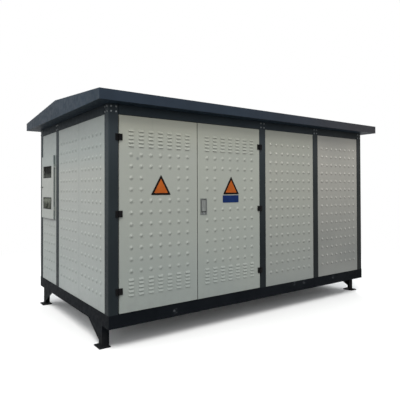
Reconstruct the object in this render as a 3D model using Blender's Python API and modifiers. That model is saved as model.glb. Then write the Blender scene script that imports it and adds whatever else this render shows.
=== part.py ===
"""Compact substation: a steel-framed outdoor housing on four short legs.

The front has a louvred double door and two fixed bays, the left end has a metering cabinet,
and a low gabled roof overhangs all round. Metres, +Z up, origin on the ground under the middle;
+X runs along the front, and the front faces -Y.
"""
import math

import bmesh
import bpy
from mathutils import Matrix, Vector

# Clearances
SEAT_GAP = 0.0003            # between pieces that bear on each other
MOVING_GAP = 0.006           # round a door leaf, at posts, sill and beam
MEETING_GAP = 0.008          # between the two leaves where they meet

# Posts and bays, clear widths along each wall
CORNER_POST = 0.108
MID_POST = 0.105
DOOR_BAY = 1.926
PANEL_BAY = 0.919
END_WIDE_BAY = 1.472
END_METER_BAY = 0.617

# Heights
LEG_HEIGHT = 0.220
BASE_HEIGHT = 0.134
WALL_HEIGHT = 2.004
BEAM_HEIGHT = 0.097
FASCIA_HEIGHT = 0.104
ROOF_RISE = 0.110

# Roof
OVERHANG_SIDE = 0.155
OVERHANG_END = 0.158
ROOF_SHEET = 0.003
CEILING_THICKNESS = 0.040

# Folded and rolled sections
BASE_STEEL = 0.006
BASE_FLANGE = 0.075
POST_STEEL = 0.003
POST_LIP = 0.028
POST_FOLD_RADIUS = 0.012
POST_FOLD_STEPS = 3
MID_POST_DEPTH = 0.050
MID_POST_FOLD_RADIUS = 0.006
MID_POST_FOLD_STEPS = 2
BEAM_STEEL = 0.004
BEAM_FLANGE = 0.060
CROSS_STEEL = 0.006
CROSS_FLANGE = 0.060
CROSS_INSET = 1.150          # each cross member, from the middle of the length
FLOOR_THICKNESS = 0.004
FLOOR_INSET = 0.062          # floor edge behind the outer faces of the posts

# Wall panels and door leaves, sheet pans with a return lip
PAN_SKIN = 0.002
PAN_LIP = 0.025
PANEL_THICKNESS = 0.040
PANEL_RECESS = 0.004         # panel face behind the post face
SHEET_JOINT = 0.003          # seam between two sheets in one bay

# Legs
LEG_INSET = 0.170            # outer edge of a leg from the housing corner
LEG_WIDTH = 0.080
LEG_STEEL = 0.008
FOOT_THICKNESS = 0.012
FOOT_LENGTH = 0.150
FOOT_OUTSTAND = 0.040
GUSSET_LENGTH = 0.380
GUSSET_HEIGHT = 0.170
GUSSET_STEEL = 0.006

# Door leaves
LEAF_DEPTH = 0.040

# Louvres pressed into the leaves
LOUVRE_COLUMNS = 7
LOUVRE_ROWS = 5
LOUVRE_PITCH_X = 0.1147
LOUVRE_PITCH_Z = 0.0386
LOUVRE_WIDTH = 0.066
LOUVRE_HEIGHT = 0.022
LOUVRE_DEPTH = 0.009
LOUVRE_END_SLOPE = 0.009
LOUVRE_SHEET = 0.0016
LOUVRE_FOOT_CUT = 0.0005     # how far a hollow runs below its hood, to open the mouth
LOUVRE_BANK_LOW = 0.254      # middle of the lower bank above the wall foot
LOUVRE_BANK_TOP = 0.231      # middle of the upper bank below the wall top

# Door hinges
HINGE_HEIGHT = 0.066
HINGE_REACH = 0.037          # plate edge from the hinge axis
HINGE_PLATE = 0.009
HINGE_AXIS_OUT = 0.013       # hinge axis in front of the post face
HINGE_BARREL_RADIUS = 0.010
HINGE_PIN_RADIUS = 0.0035
HINGE_PIN_CLEARANCE = 0.0003
HINGE_KNUCKLE = 0.020        # height of each fixed knuckle
HINGE_END_CLEARANCE = 0.0005
HINGE_RELIEF = 0.0015        # round the other half's knuckle
HINGE_FROM_FOOT = 0.226      # middle of the lowest hinge above the wall foot
HINGE_FROM_TOP = 0.230       # middle of the top hinge below the wall top
HINGE_SIDES = 16
SMALL_SIDES = 12             # of thin pins and the cabinet's knuckles

# Door handle, on the right leaf
HANDLE_CENTRE_FROM_EDGE = 0.083         # handle middle from the free edge of the leaf
HANDLE_CENTRE_HEIGHT = 1.047            # above the wall foot
PAN_WIDTH = 0.092
PAN_HEIGHT = 0.188
PAN_PLATE = 0.003
PAN_WALL = 0.003
PAN_DEPTH = 0.021
RECESS_WIDTH = 0.066
RECESS_TOP = 0.083
RECESS_BOTTOM = -0.064
LEVER_WIDTH = 0.056
LEVER_TOP = 0.075
LEVER_BOTTOM = -0.054
LEVER_THICKNESS = 0.012
LEVER_PROUD = 0.006          # lever face in front of the leaf face
LEVER_EDGE_RADIUS = 0.003
LEVER_PIVOT_HEIGHT = 0.066
LEVER_PIN_RADIUS = 0.003

# Metering cabinet on the left end
METER_NEAR_GAP = 0.062       # door's hinge edge to the post beside it
METER_FAR_GAP = 0.027        # door's free edge to the corner post
METER_HEIGHT = 0.843
METER_HEAD = 0.304           # door's top edge below the beam
METER_DOOR_THICKNESS = 0.016
METER_DOOR_GAP = 0.005
METER_FLANGE = 0.002
METER_MARGIN = 0.022         # box mouth inside the door edge
METER_BOX_DEPTH = 0.160
METER_BOX_WALL = 0.002
METER_STILE = 0.089          # window edge to door edge
METER_WINDOW_HEIGHT = 0.146
METER_LOW_RAIL = 0.133       # lower window above the door's bottom edge
METER_TOP_RAIL = 0.141       # upper window below the door's top edge
METER_GLASS = 0.004
METER_GLASS_LAP = 0.010
METER_BARREL_RADIUS = 0.006
METER_BARREL_HEIGHT = 0.050
METER_PIN_RADIUS = 0.0025
METER_PIN_SHORT = 0.005      # pin end below the top of the moving knuckle
METER_HINGE_FROM_END = 0.140  # hinge middle from the door's lower and upper edges
METER_AXIS_SIDE = 0.011      # hinge axis beside the door's near edge
KNOB_RADIUS = 0.013
KNOB_NECK_RADIUS = 0.009
KNOB_LENGTH = 0.022
KNOB_INSET = 0.030           # from the door's far edge

# Sizes that follow
LENGTH = 2 * CORNER_POST + DOOR_BAY + 2 * MID_POST + 2 * PANEL_BAY
WIDTH = 2 * CORNER_POST + END_WIDE_BAY + MID_POST + END_METER_BAY
WALL_FOOT = LEG_HEIGHT + BASE_HEIGHT
WALL_TOP = WALL_FOOT + WALL_HEIGHT
BEAM_TOP = WALL_TOP + BEAM_HEIGHT
LEAF_WIDTH = (DOOR_BAY - 2 * MOVING_GAP - MEETING_GAP) / 2
LEAF_HEIGHT = WALL_HEIGHT - 2 * MOVING_GAP
LOUVRE_BANKS = (LOUVRE_BANK_LOW, WALL_HEIGHT - LOUVRE_BANK_TOP)
HINGE_CENTRES = (HINGE_FROM_FOOT, WALL_HEIGHT / 2, WALL_HEIGHT - HINGE_FROM_TOP)
METER_FOOT = WALL_HEIGHT - METER_HEAD - METER_HEIGHT
METER_WIDTH = END_METER_BAY - METER_NEAR_GAP - METER_FAR_GAP
METER_WINDOW_WIDTH = METER_WIDTH - 2 * METER_STILE
METER_WINDOW_CENTRES = (
    METER_LOW_RAIL + METER_WINDOW_HEIGHT / 2,
    METER_HEIGHT - METER_TOP_RAIL - METER_WINDOW_HEIGHT / 2,
)
METER_HINGE_CENTRES = (METER_HINGE_FROM_END, METER_HEIGHT - METER_HINGE_FROM_END)

# Walls: turn about Z, distance of the outer face from the middle, and the bays
# from left to right for someone who stands outside and faces the wall
WALLS = {
    "front": (0, WIDTH / 2, (DOOR_BAY, PANEL_BAY, PANEL_BAY)),
    "right": (90, LENGTH / 2, (END_WIDE_BAY, END_METER_BAY)),
    "back": (180, WIDTH / 2, (PANEL_BAY, PANEL_BAY, DOOR_BAY)),
    "left": (-90, LENGTH / 2, (END_METER_BAY, END_WIDE_BAY)),
}

OVERCUT = 0.005              # how far a cutter runs past the face it opens


def clear_scene():
    for item in list(bpy.data.objects):
        bpy.data.objects.remove(item, do_unlink=True)


def make_collection(name):
    collection = bpy.data.collections.new(name)
    bpy.context.scene.collection.children.link(collection)
    return collection


def make_material(name, colour, roughness, metallic):
    material = bpy.data.materials.new(name)
    material.use_nodes = True
    shader = material.node_tree.nodes["Principled BSDF"]
    shader.inputs["Base Color"].default_value = (*colour, 1.0)
    shader.inputs["Roughness"].default_value = roughness
    shader.inputs["Metallic"].default_value = metallic
    material.diffuse_color = (*colour, 1.0)
    return material


clear_scene()
PARTS = make_collection("compact_substation")
CUTTERS = make_collection("cutters")

FRAME_PAINT = make_material("frame_paint", (0.035, 0.042, 0.052), 0.45, 0.2)
BASE_PAINT = make_material("base_paint", (0.010, 0.011, 0.013), 0.55, 0.2)
ROOF_PAINT = make_material("roof_paint", (0.045, 0.055, 0.068), 0.45, 0.2)
PANEL_PAINT = make_material("panel_paint", (0.36, 0.38, 0.34), 0.40, 0.1)
HINGE_PAINT = make_material("hinge_black", (0.008, 0.008, 0.009), 0.45, 0.3)
HANDLE_METAL = make_material("handle_metal", (0.30, 0.31, 0.31), 0.35, 0.9)
FLOOR_STEEL = make_material("floor_steel", (0.16, 0.17, 0.17), 0.60, 0.5)
GLASS = make_material("meter_glass", (0.02, 0.03, 0.03), 0.05, 0.0)


def add_object(name, mesh, material, location=(0, 0, 0), turn=0.0):
    """Link a mesh as one piece, turned about Z by degrees."""
    item = bpy.data.objects.new(name, mesh)
    item.location = location
    item.rotation_euler = (0, 0, math.radians(turn))
    mesh.materials.clear()
    mesh.materials.append(material)
    PARTS.objects.link(item)
    return item


def add_cutter(name, mesh, like):
    """Link a mesh as a hidden tool that shares a piece's place."""
    item = bpy.data.objects.new(name, mesh)
    item.location = like.location
    item.rotation_euler = like.rotation_euler
    item.hide_render = True
    item.display_type = "WIRE"
    CUTTERS.objects.link(item)
    return item


def apply_boolean(item, tool, operation):
    modifier = item.modifiers.new(tool.name, "BOOLEAN")
    modifier.operation = operation
    modifier.solver = "EXACT"
    modifier.object = tool


def mesh_from(name, build):
    """Make a mesh by running a function on an empty bmesh."""
    data = bmesh.new()
    build(data)
    bmesh.ops.recalc_face_normals(data, faces=data.faces)
    mesh = bpy.data.meshes.new(name)
    data.to_mesh(mesh)
    data.free()
    return mesh


def working_object(name, mesh):
    item = bpy.data.objects.new(name, mesh)
    bpy.context.scene.collection.objects.link(item)
    return item


def finish_mesh(item, tools):
    """Run booleans on a working object and keep only its finished mesh."""
    helpers = []
    for mesh, operation in tools:
        helper = working_object(mesh.name, mesh)
        apply_boolean(item, helper, operation)
        helpers.append(helper)
    bpy.context.view_layer.update()
    view = item.evaluated_get(bpy.context.evaluated_depsgraph_get())
    mesh = bpy.data.meshes.new_from_object(view)
    mesh.name = item.name
    for helper in [item, *helpers]:
        bpy.data.objects.remove(helper, do_unlink=True)
    return mesh


def mirrored(mesh):
    """A copy of a mesh mirrored across its local YZ plane."""
    copy = mesh.copy()
    copy.transform(Matrix.Diagonal((-1, 1, 1, 1)))
    copy.flip_normals()
    return copy


def put_box(data, low, high):
    size = [high[i] - low[i] for i in range(3)]
    middle = [(high[i] + low[i]) / 2 for i in range(3)]
    place = Matrix.Translation(middle) @ Matrix.Diagonal((*size, 1))
    bmesh.ops.create_cube(data, size=1, matrix=place)


def box_mesh(name, low, high):
    return mesh_from(name, lambda data: put_box(data, low, high))


def put_cylinder(data, radius, low, high, axis="Z", sides=HINGE_SIDES, centre=(0, 0)):
    """A cylinder from low to high along an axis; centre gives its other two coordinates."""
    turn = {"Z": Matrix.Identity(4), "X": Matrix.Rotation(math.pi / 2, 4, "Y")}[axis]
    middle = (low + high) / 2
    place = {"Z": (centre[0], centre[1], middle), "X": (middle, centre[0], centre[1])}[axis]
    bmesh.ops.create_cone(
        data, cap_ends=True, segments=sides, radius1=radius, radius2=radius,
        depth=high - low, matrix=Matrix.Translation(place) @ turn)


def cylinder_mesh(name, radius, low, high, axis="Z", sides=HINGE_SIDES, centre=(0, 0)):
    return mesh_from(name, lambda data: put_cylinder(data, radius, low, high, axis, sides, centre))


def round_folds(path, radius, steps):
    """Replace each inner point of an open path by an arc."""
    rounded = [Vector(path[0])]
    for before, corner, after in zip(path, path[1:], path[2:]):
        corner = Vector(corner)
        inward = (Vector(before) - corner).normalized()
        outward = (Vector(after) - corner).normalized()
        half = inward.angle(outward) / 2
        centre = corner + (inward + outward).normalized() * radius / math.sin(half)
        start = corner + inward * radius / math.tan(half) - centre
        end = corner + outward * radius / math.tan(half) - centre
        sweep = start.angle_signed(end)
        for step in range(steps + 1):
            turn = Matrix.Rotation(-sweep * step / steps, 2)
            rounded.append(centre + turn @ start)
    rounded.append(Vector(path[-1]))
    return rounded


def sheet_outline(path, thickness):
    """Close an open path into the outline of a folded sheet; the metal lies on its left."""
    points = [Vector(point) for point in path]
    inner = []
    for index, point in enumerate(points):
        sides = []
        if index > 0:
            sides.append((point - points[index - 1]).normalized())
        if index < len(points) - 1:
            sides.append((points[index + 1] - point).normalized())
        normals = [Vector((-side.y, side.x)) for side in sides]
        mean = sum(normals, Vector((0, 0))).normalized()
        inner.append(point + mean * thickness / mean.dot(normals[0]))
    return points + inner[::-1]


def bar_mesh(name, outline, length, mitre=False):
    """Extrude an outline in local XY along local Z, centred; a mitred end follows local X."""
    def build(data):
        corners = [data.verts.new((point[0], point[1], -length / 2)) for point in outline]
        face = data.faces.new(corners)
        grown = bmesh.ops.extrude_face_region(data, geom=[face])
        top = [part for part in grown["geom"] if isinstance(part, bmesh.types.BMVert)]
        bmesh.ops.translate(data, vec=(0, 0, length), verts=top)
        if mitre:
            for vertex in data.verts:
                vertex.co.z -= math.copysign(vertex.co.x, vertex.co.z)
    return mesh_from(name, build)


def channel_outline(height, flange, steel):
    """A channel with its web at X = 0 and its flanges towards +X."""
    path = [(flange, height), (0, height), (0, 0), (flange, 0)]
    return sheet_outline(path, steel)


def wall_point(side, along, inward, height):
    """World place of a point given along a wall, behind its outer face, and up."""
    turn, distance, _ = WALLS[side]
    return Matrix.Rotation(math.radians(turn), 4, "Z") @ Vector((along, inward - distance, height))


def wall_half(side):
    return LENGTH / 2 if side in ("front", "back") else WIDTH / 2


def wall_bays(side):
    """Start and end of each bay along a wall."""
    spans = []
    start = -wall_half(side) + CORNER_POST
    for width in WALLS[side][2]:
        spans.append((start, start + width))
        start += width + MID_POST
    return spans


def lay_bar(name, side, outline, length, height, material, mitre=False, inward=0.0):
    """Lay a bar along a wall: outline X points inward and outline Y up."""
    turn = WALLS[side][0]
    item = add_object(name, bar_mesh(name, outline, length, mitre), material)
    basis = Matrix(((0, 0, 1), (1, 0, 0), (0, 1, 0))).to_4x4()
    place = Matrix.Translation(wall_point(side, 0, inward, height))
    item.matrix_world = place @ Matrix.Rotation(math.radians(turn), 4, "Z") @ basis
    return item


def shrink(span, gap=SEAT_GAP):
    return span[0] + gap, span[1] - gap


def make_base():
    outline = channel_outline(BASE_HEIGHT, BASE_FLANGE, BASE_STEEL)
    for side in WALLS:
        length = 2 * (wall_half(side) - SEAT_GAP)
        name = f"base_channel_{side}"
        lay_bar(name, side, outline, length, LEG_HEIGHT, BASE_PAINT, mitre=True)
    cross = channel_outline(BASE_HEIGHT - 2 * SEAT_GAP, CROSS_FLANGE, CROSS_STEEL)
    length = WIDTH - 2 * BASE_FLANGE - 2 * SEAT_GAP
    for name, side in (("cross_member_left", "left"), ("cross_member_right", "right")):
        inward = LENGTH / 2 - CROSS_INSET
        lay_bar(name, side, cross, length, LEG_HEIGHT + SEAT_GAP, BASE_PAINT, inward=inward)
    half_x = LENGTH / 2 - FLOOR_INSET
    half_y = WIDTH / 2 - FLOOR_INSET
    low = (-half_x, -half_y, 0)
    high = (half_x, half_y, FLOOR_THICKNESS)
    mesh = box_mesh("floor_plate", low, high)
    add_object("floor_plate", mesh, FLOOR_STEEL, (0, 0, WALL_FOOT + SEAT_GAP))


def leg_mesh():
    """An angle leg with a foot plate and a gusset; X = 0 is its outer edge, Y points inward."""
    height = LEG_HEIGHT - SEAT_GAP
    angle = sheet_outline([(-LEG_WIDTH, 0), (0, 0), (0, LEG_WIDTH)], LEG_STEEL)
    mesh = bar_mesh("leg", angle, height)
    mesh.transform(Matrix.Translation((0, 0, height / 2)))
    leg = working_object("leg", mesh)

    low = (FOOT_OUTSTAND - FOOT_LENGTH, -FOOT_OUTSTAND, 0)
    foot = box_mesh("foot", low, (FOOT_OUTSTAND, LEG_WIDTH, FOOT_THICKNESS))
    root = LEG_STEEL - LEG_WIDTH
    corners = [(root, height - GUSSET_HEIGHT), (root, height), (-GUSSET_LENGTH, height)]
    gusset = bar_mesh("gusset", corners, GUSSET_STEEL)
    upright = Matrix.Rotation(math.pi / 2, 4, "X")
    gusset.transform(Matrix.Translation((0, LEG_STEEL / 2, 0)) @ upright)
    return finish_mesh(leg, [(foot, "UNION"), (gusset, "UNION")])


def make_legs():
    right_hand = leg_mesh()
    left_hand = mirrored(right_hand)
    edge = WIDTH / 2 - LEG_INSET
    for side, left_word, right_word in (("left", "back", "front"), ("right", "front", "back")):
        turn = WALLS[side][0]
        for word, mesh, along in ((left_word, left_hand, -edge), (right_word, right_hand, edge)):
            add_object(f"leg_{word}_{side}", mesh, BASE_PAINT, wall_point(side, along, 0, 0), turn)


def make_posts():
    lip = POST_LIP
    corner = [(lip, CORNER_POST), (0, CORNER_POST), (0, 0), (CORNER_POST, 0), (CORNER_POST, lip)]
    outline = sheet_outline(round_folds(corner, POST_FOLD_RADIUS, POST_FOLD_STEPS), POST_STEEL)
    height = BEAM_TOP - WALL_FOOT - 2 * SEAT_GAP
    mesh = bar_mesh("corner_post", outline, height)
    middle = (WALL_FOOT + BEAM_TOP) / 2
    places = (
        ("corner_post_front_left", -1, -1, 0),
        ("corner_post_front_right", 1, -1, 90),
        ("corner_post_back_right", 1, 1, 180),
        ("corner_post_back_left", -1, 1, 270),
    )
    for name, sign_x, sign_y, turn in places:
        add_object(name, mesh, FRAME_PAINT, (sign_x * LENGTH / 2, sign_y * WIDTH / 2, middle), turn)

    half = MID_POST / 2
    path = [(-half, MID_POST_DEPTH), (-half, 0), (half, 0), (half, MID_POST_DEPTH)]
    outline = sheet_outline(round_folds(path, MID_POST_FOLD_RADIUS, MID_POST_FOLD_STEPS), POST_STEEL)
    height = WALL_HEIGHT - 2 * SEAT_GAP
    mesh = bar_mesh("mid_post", outline, height)
    middle = (WALL_FOOT + WALL_TOP) / 2
    for side in WALLS:
        for number, (_, end) in enumerate(wall_bays(side)[:-1], start=1):
            place = wall_point(side, end + half, 0, middle)
            add_object(f"mid_post_{side}_{number}", mesh, FRAME_PAINT, place, WALLS[side][0])


def make_beams():
    outline = channel_outline(BEAM_HEIGHT - 2 * SEAT_GAP, BEAM_FLANGE, BEAM_STEEL)
    for side in WALLS:
        length = 2 * (wall_half(side) - CORNER_POST - SEAT_GAP)
        lay_bar(f"top_beam_{side}", side, outline, length, WALL_TOP + SEAT_GAP, FRAME_PAINT)


def pan_mesh(name, length, depth, height):
    """A sheet folded into a pan with a return lip: its face at Y = 0, open towards +Y."""
    half_x = length / 2
    half_z = height / 2
    pan = working_object(name, box_mesh(name, (-half_x, 0, -half_z), (half_x, depth, half_z)))
    skin = PAN_SKIN
    inside = box_mesh("inside", (skin - half_x, skin, skin - half_z),
                      (half_x - skin, depth - skin, half_z - skin))
    lip = PAN_LIP
    mouth = box_mesh("mouth", (lip - half_x, depth / 2, lip - half_z),
                     (half_x - lip, depth + OVERCUT, half_z - lip))
    return finish_mesh(pan, [(inside, "DIFFERENCE"), (mouth, "DIFFERENCE")])


def wall_panel(name, side, along):
    """A folded pan that fills a span of a wall between base and beam."""
    low, high = shrink(along)
    height = WALL_HEIGHT - 2 * SEAT_GAP
    place = wall_point(side, (low + high) / 2, PANEL_RECESS, (WALL_FOOT + WALL_TOP) / 2)
    mesh = pan_mesh(name, high - low, PANEL_THICKNESS, height)
    return add_object(name, mesh, PANEL_PAINT, place, WALLS[side][0])


def make_panels():
    bays = {side: wall_bays(side) for side in WALLS}
    plain = [("front", 1), ("front", 2), ("right", 0), ("right", 1), ("back", 0), ("back", 1), ("back", 2)]
    for side, index in plain:
        wall_panel(f"wall_panel_{side}_{index + 1}", side, bays[side][index])

    start, end = bays["left"][1]
    seam = (start + end) / 2
    wall_panel("wall_panel_left_far", "left", (start, seam - SHEET_JOINT / 2))
    wall_panel("wall_panel_left_near", "left", (seam + SHEET_JOINT / 2, end))

    start, end = bays["left"][0]
    meter = wall_panel("wall_panel_meter_bay", "left", (start, end))
    shift = meter_centre()[0] - (start + end) / 2
    hole_x = METER_WIDTH / 2 - METER_MARGIN
    hole_z = METER_HEIGHT / 2 - METER_MARGIN
    middle = METER_FOOT + METER_HEIGHT / 2 - WALL_HEIGHT / 2
    low = (shift - hole_x, -OVERCUT, middle - hole_z)
    high = (shift + hole_x, PANEL_THICKNESS, middle + hole_z)
    cutter = add_cutter("meter_bay_hole", box_mesh("meter_bay_hole", low, high), meter)
    apply_boolean(meter, cutter, "DIFFERENCE")


def louvre_points(column, low, grow):
    """Corners of one louvre's wedge; grow is 0 for its outside and 1 for its hollow.

    X runs along the leaf, Y behind its face and Z up from the louvre's mouth.
    """
    slope = LOUVRE_HEIGHT / LOUVRE_DEPTH
    wall = LOUVRE_SHEET * math.hypot(1, 1 / slope) * grow
    back = PAN_SKIN / 2 + (PAN_SKIN / 2 + OVERCUT) * grow
    lip = -LOUVRE_DEPTH + wall
    foot = low - LOUVRE_FOOT_CUT * grow
    head = low + LOUVRE_HEIGHT + (back - wall) * slope
    half = LOUVRE_WIDTH / 2 - wall
    half_lip = half - LOUVRE_END_SLOPE
    points = []
    for sign in (-1, 1):
        points.append((column + sign * half, back, head))
        points.append((column + sign * half, back, foot))
        points.append((column + sign * half_lip, lip, foot))
    return points


def put_louvres(data, middle, grow):
    for bank in LOUVRE_BANKS:
        for row in range(LOUVRE_ROWS):
            centre = bank - MOVING_GAP + (row - (LOUVRE_ROWS - 1) / 2) * LOUVRE_PITCH_Z
            low = centre - LOUVRE_HEIGHT / 2
            for number in range(LOUVRE_COLUMNS):
                column = middle + (number - (LOUVRE_COLUMNS - 1) / 2) * LOUVRE_PITCH_X
                points = louvre_points(column, low, grow)
                corners = [data.verts.new((x, y + HINGE_AXIS_OUT, z)) for x, y, z in points]
                bmesh.ops.convex_hull(data, input=corners)


def hinge_axis(hand):
    """Place of a door's hinge axis at the foot of its leaf; hand is -1 left, +1 right."""
    start, end = wall_bays("front")[0]
    along = start + MOVING_GAP / 2 if hand < 0 else end - MOVING_GAP / 2
    return wall_point("front", along, -HINGE_AXIS_OUT, WALL_FOOT + MOVING_GAP)


def leaf_span(hand, near, far):
    """A span measured from the hinge axis into the leaf, as low and high X."""
    return sorted((-hand * near, -hand * far))


def make_leaf(name, hand):
    """A folded pan with two banks of pressed louvres; its origin is on the hinge axis."""
    near, far = leaf_span(hand, MOVING_GAP / 2, MOVING_GAP / 2 + LEAF_WIDTH)
    middle = (near + far) / 2
    mesh = pan_mesh(name, LEAF_WIDTH, LEAF_DEPTH, LEAF_HEIGHT)
    mesh.transform(Matrix.Translation((middle, HINGE_AXIS_OUT, LEAF_HEIGHT / 2)))
    leaf = add_object(name, mesh, PANEL_PAINT, hinge_axis(hand))
    hoods = mesh_from("hoods", lambda data: put_louvres(data, middle, 0))
    hollows = mesh_from("hollows", lambda data: put_louvres(data, middle, 1))
    apply_boolean(leaf, add_cutter(f"{name}_hoods", hoods, leaf), "UNION")
    apply_boolean(leaf, add_cutter(f"{name}_hollows", hollows, leaf), "DIFFERENCE")
    return leaf


def hinge_mesh(name, moving):
    """One half of a block hinge about its own axis, with the leaf towards +X."""
    knuckle = HINGE_KNUCKLE
    top = HINGE_HEIGHT
    ends = ((0, knuckle), (top - knuckle, top))
    middle = ((knuckle + HINGE_END_CLEARANCE, top - knuckle - HINGE_END_CLEARANCE),)
    own, other = (middle, ends) if moving else (ends, middle)
    face = HINGE_AXIS_OUT - SEAT_GAP
    reach = sorted((HINGE_REACH, HINGE_BARREL_RADIUS / 2)) if moving \
        else sorted((-HINGE_REACH, -HINGE_BARREL_RADIUS / 2))
    mesh = box_mesh(name, (reach[0], face - HINGE_PLATE, 0), (reach[1], face, top))
    half = working_object(name, mesh)
    tools = []
    for low, high in other:
        relief = HINGE_BARREL_RADIUS + HINGE_RELIEF
        low -= HINGE_END_CLEARANCE if low > 0 else OVERCUT
        high += HINGE_END_CLEARANCE if high < top else OVERCUT
        tools.append((cylinder_mesh("relief", relief, low, high), "DIFFERENCE"))
    for low, high in own:
        tools.append((cylinder_mesh("knuckle", HINGE_BARREL_RADIUS, low, high), "UNION"))
    if moving:
        bore = HINGE_PIN_RADIUS + HINGE_PIN_CLEARANCE
        tools.append((cylinder_mesh("bore", bore, -OVERCUT, top + OVERCUT), "DIFFERENCE"))
    else:
        low = knuckle / 2
        tools.append((cylinder_mesh("pin", HINGE_PIN_RADIUS, low, top - low), "UNION"))
    return finish_mesh(half, tools)


def make_hinges(hand, word, leaf):
    """Three block hinges on one side; the moving halves ride on the leaf."""
    fixed = hinge_mesh(f"hinge_fixed_{word}", False)
    moving = hinge_mesh(f"hinge_moving_{word}", True)
    if hand > 0:
        fixed = mirrored(fixed)
        moving = mirrored(moving)
    for level, centre in zip(("bottom", "middle", "top"), HINGE_CENTRES):
        rise = centre - HINGE_HEIGHT / 2 - MOVING_GAP
        place = hinge_axis(hand) + Vector((0, 0, rise))
        add_object(f"hinge_{word}_{level}_fixed", fixed, HINGE_PAINT, place)
        half = add_object(f"hinge_{word}_{level}_moving", moving, HINGE_PAINT, (0, 0, rise))
        half.parent = leaf


def handle_place():
    """Middle of the handle on the face of the right leaf, relative to the leaf."""
    along = -(MOVING_GAP / 2 + LEAF_WIDTH - HANDLE_CENTRE_FROM_EDGE)
    return Vector((along, HINGE_AXIS_OUT, HANDLE_CENTRE_HEIGHT - MOVING_GAP))


def make_handle(leaf):
    """A flush pan let into the leaf, and a lever that lifts about a pin near its top."""
    tub = RECESS_WIDTH / 2 + PAN_WALL
    top = RECESS_TOP + PAN_WALL
    bottom = RECESS_BOTTOM - PAN_WALL
    centre = handle_place()

    low = centre + Vector((-tub - SEAT_GAP, -OVERCUT, bottom - SEAT_GAP))
    high = centre + Vector((tub + SEAT_GAP, OVERCUT, top + SEAT_GAP))
    hole = add_cutter("handle_hole", box_mesh("handle_hole", low, high), leaf)
    apply_boolean(leaf, hole, "DIFFERENCE")

    half_x = PAN_WIDTH / 2
    half_z = PAN_HEIGHT / 2
    front = -SEAT_GAP - PAN_PLATE
    plate = box_mesh("handle_pan", (-half_x, front, -half_z), (half_x, -SEAT_GAP, half_z))
    pan = working_object("handle_pan", plate)
    recess = RECESS_WIDTH / 2
    tools = [
        (box_mesh("tub", (-tub, -SEAT_GAP - PAN_PLATE / 2, bottom), (tub, PAN_DEPTH, top)), "UNION"),
        (box_mesh("recess", (-recess, -OVERCUT, RECESS_BOTTOM),
                  (recess, PAN_DEPTH - PAN_WALL, RECESS_TOP)), "DIFFERENCE"),
        (cylinder_mesh("pin", LEVER_PIN_RADIUS, -recess - PAN_WALL / 2, recess + PAN_WALL / 2, "X",
                       SMALL_SIDES, (0, LEVER_PIVOT_HEIGHT)), "UNION"),
    ]
    item = add_object("handle_pan", finish_mesh(pan, tools), HANDLE_METAL, centre)
    item.parent = leaf

    half_x = LEVER_WIDTH / 2
    low = (-half_x, -LEVER_PROUD, LEVER_BOTTOM - LEVER_PIVOT_HEIGHT)
    high = (half_x, LEVER_THICKNESS - LEVER_PROUD, LEVER_TOP - LEVER_PIVOT_HEIGHT)
    lever = add_object("handle_lever", box_mesh("handle_lever", low, high), HANDLE_METAL,
                       centre + Vector((0, 0, LEVER_PIVOT_HEIGHT)))
    lever.parent = leaf
    bevel = lever.modifiers.new("edges", "BEVEL")
    bevel.width = LEVER_EDGE_RADIUS
    bevel.segments = 2
    bore = cylinder_mesh("lever_bore", LEVER_PIN_RADIUS + HINGE_PIN_CLEARANCE, -LEVER_WIDTH, LEVER_WIDTH,
                         "X", SMALL_SIDES)
    tool = add_cutter("lever_bore", bore, lever)
    tool.parent = leaf
    apply_boolean(lever, tool, "DIFFERENCE")


def meter_centre():
    """Middle of the cabinet along the left wall and its bottom edge above the ground."""
    start, end = wall_bays("left")[0]
    return (start + METER_FAR_GAP + end - METER_NEAR_GAP) / 2, WALL_FOOT + METER_FOOT


def meter_axis():
    """Place of the metering door's hinge axis at its bottom edge."""
    along, foot = meter_centre()
    out = METER_DOOR_GAP + SEAT_GAP + METER_FLANGE + METER_DOOR_THICKNESS / 2
    return wall_point("left", along + METER_WIDTH / 2 + METER_AXIS_SIDE, PANEL_RECESS - out, foot)


def barrel_spans(moving):
    """Heights of the knuckles of one half; the moving knuckle stands on the fixed one."""
    half = METER_BARREL_HEIGHT / 2
    for centre in METER_HINGE_CENTRES:
        if moving:
            yield centre + HINGE_END_CLEARANCE / 2, centre + half
        else:
            yield centre - half, centre - HINGE_END_CLEARANCE / 2


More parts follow.
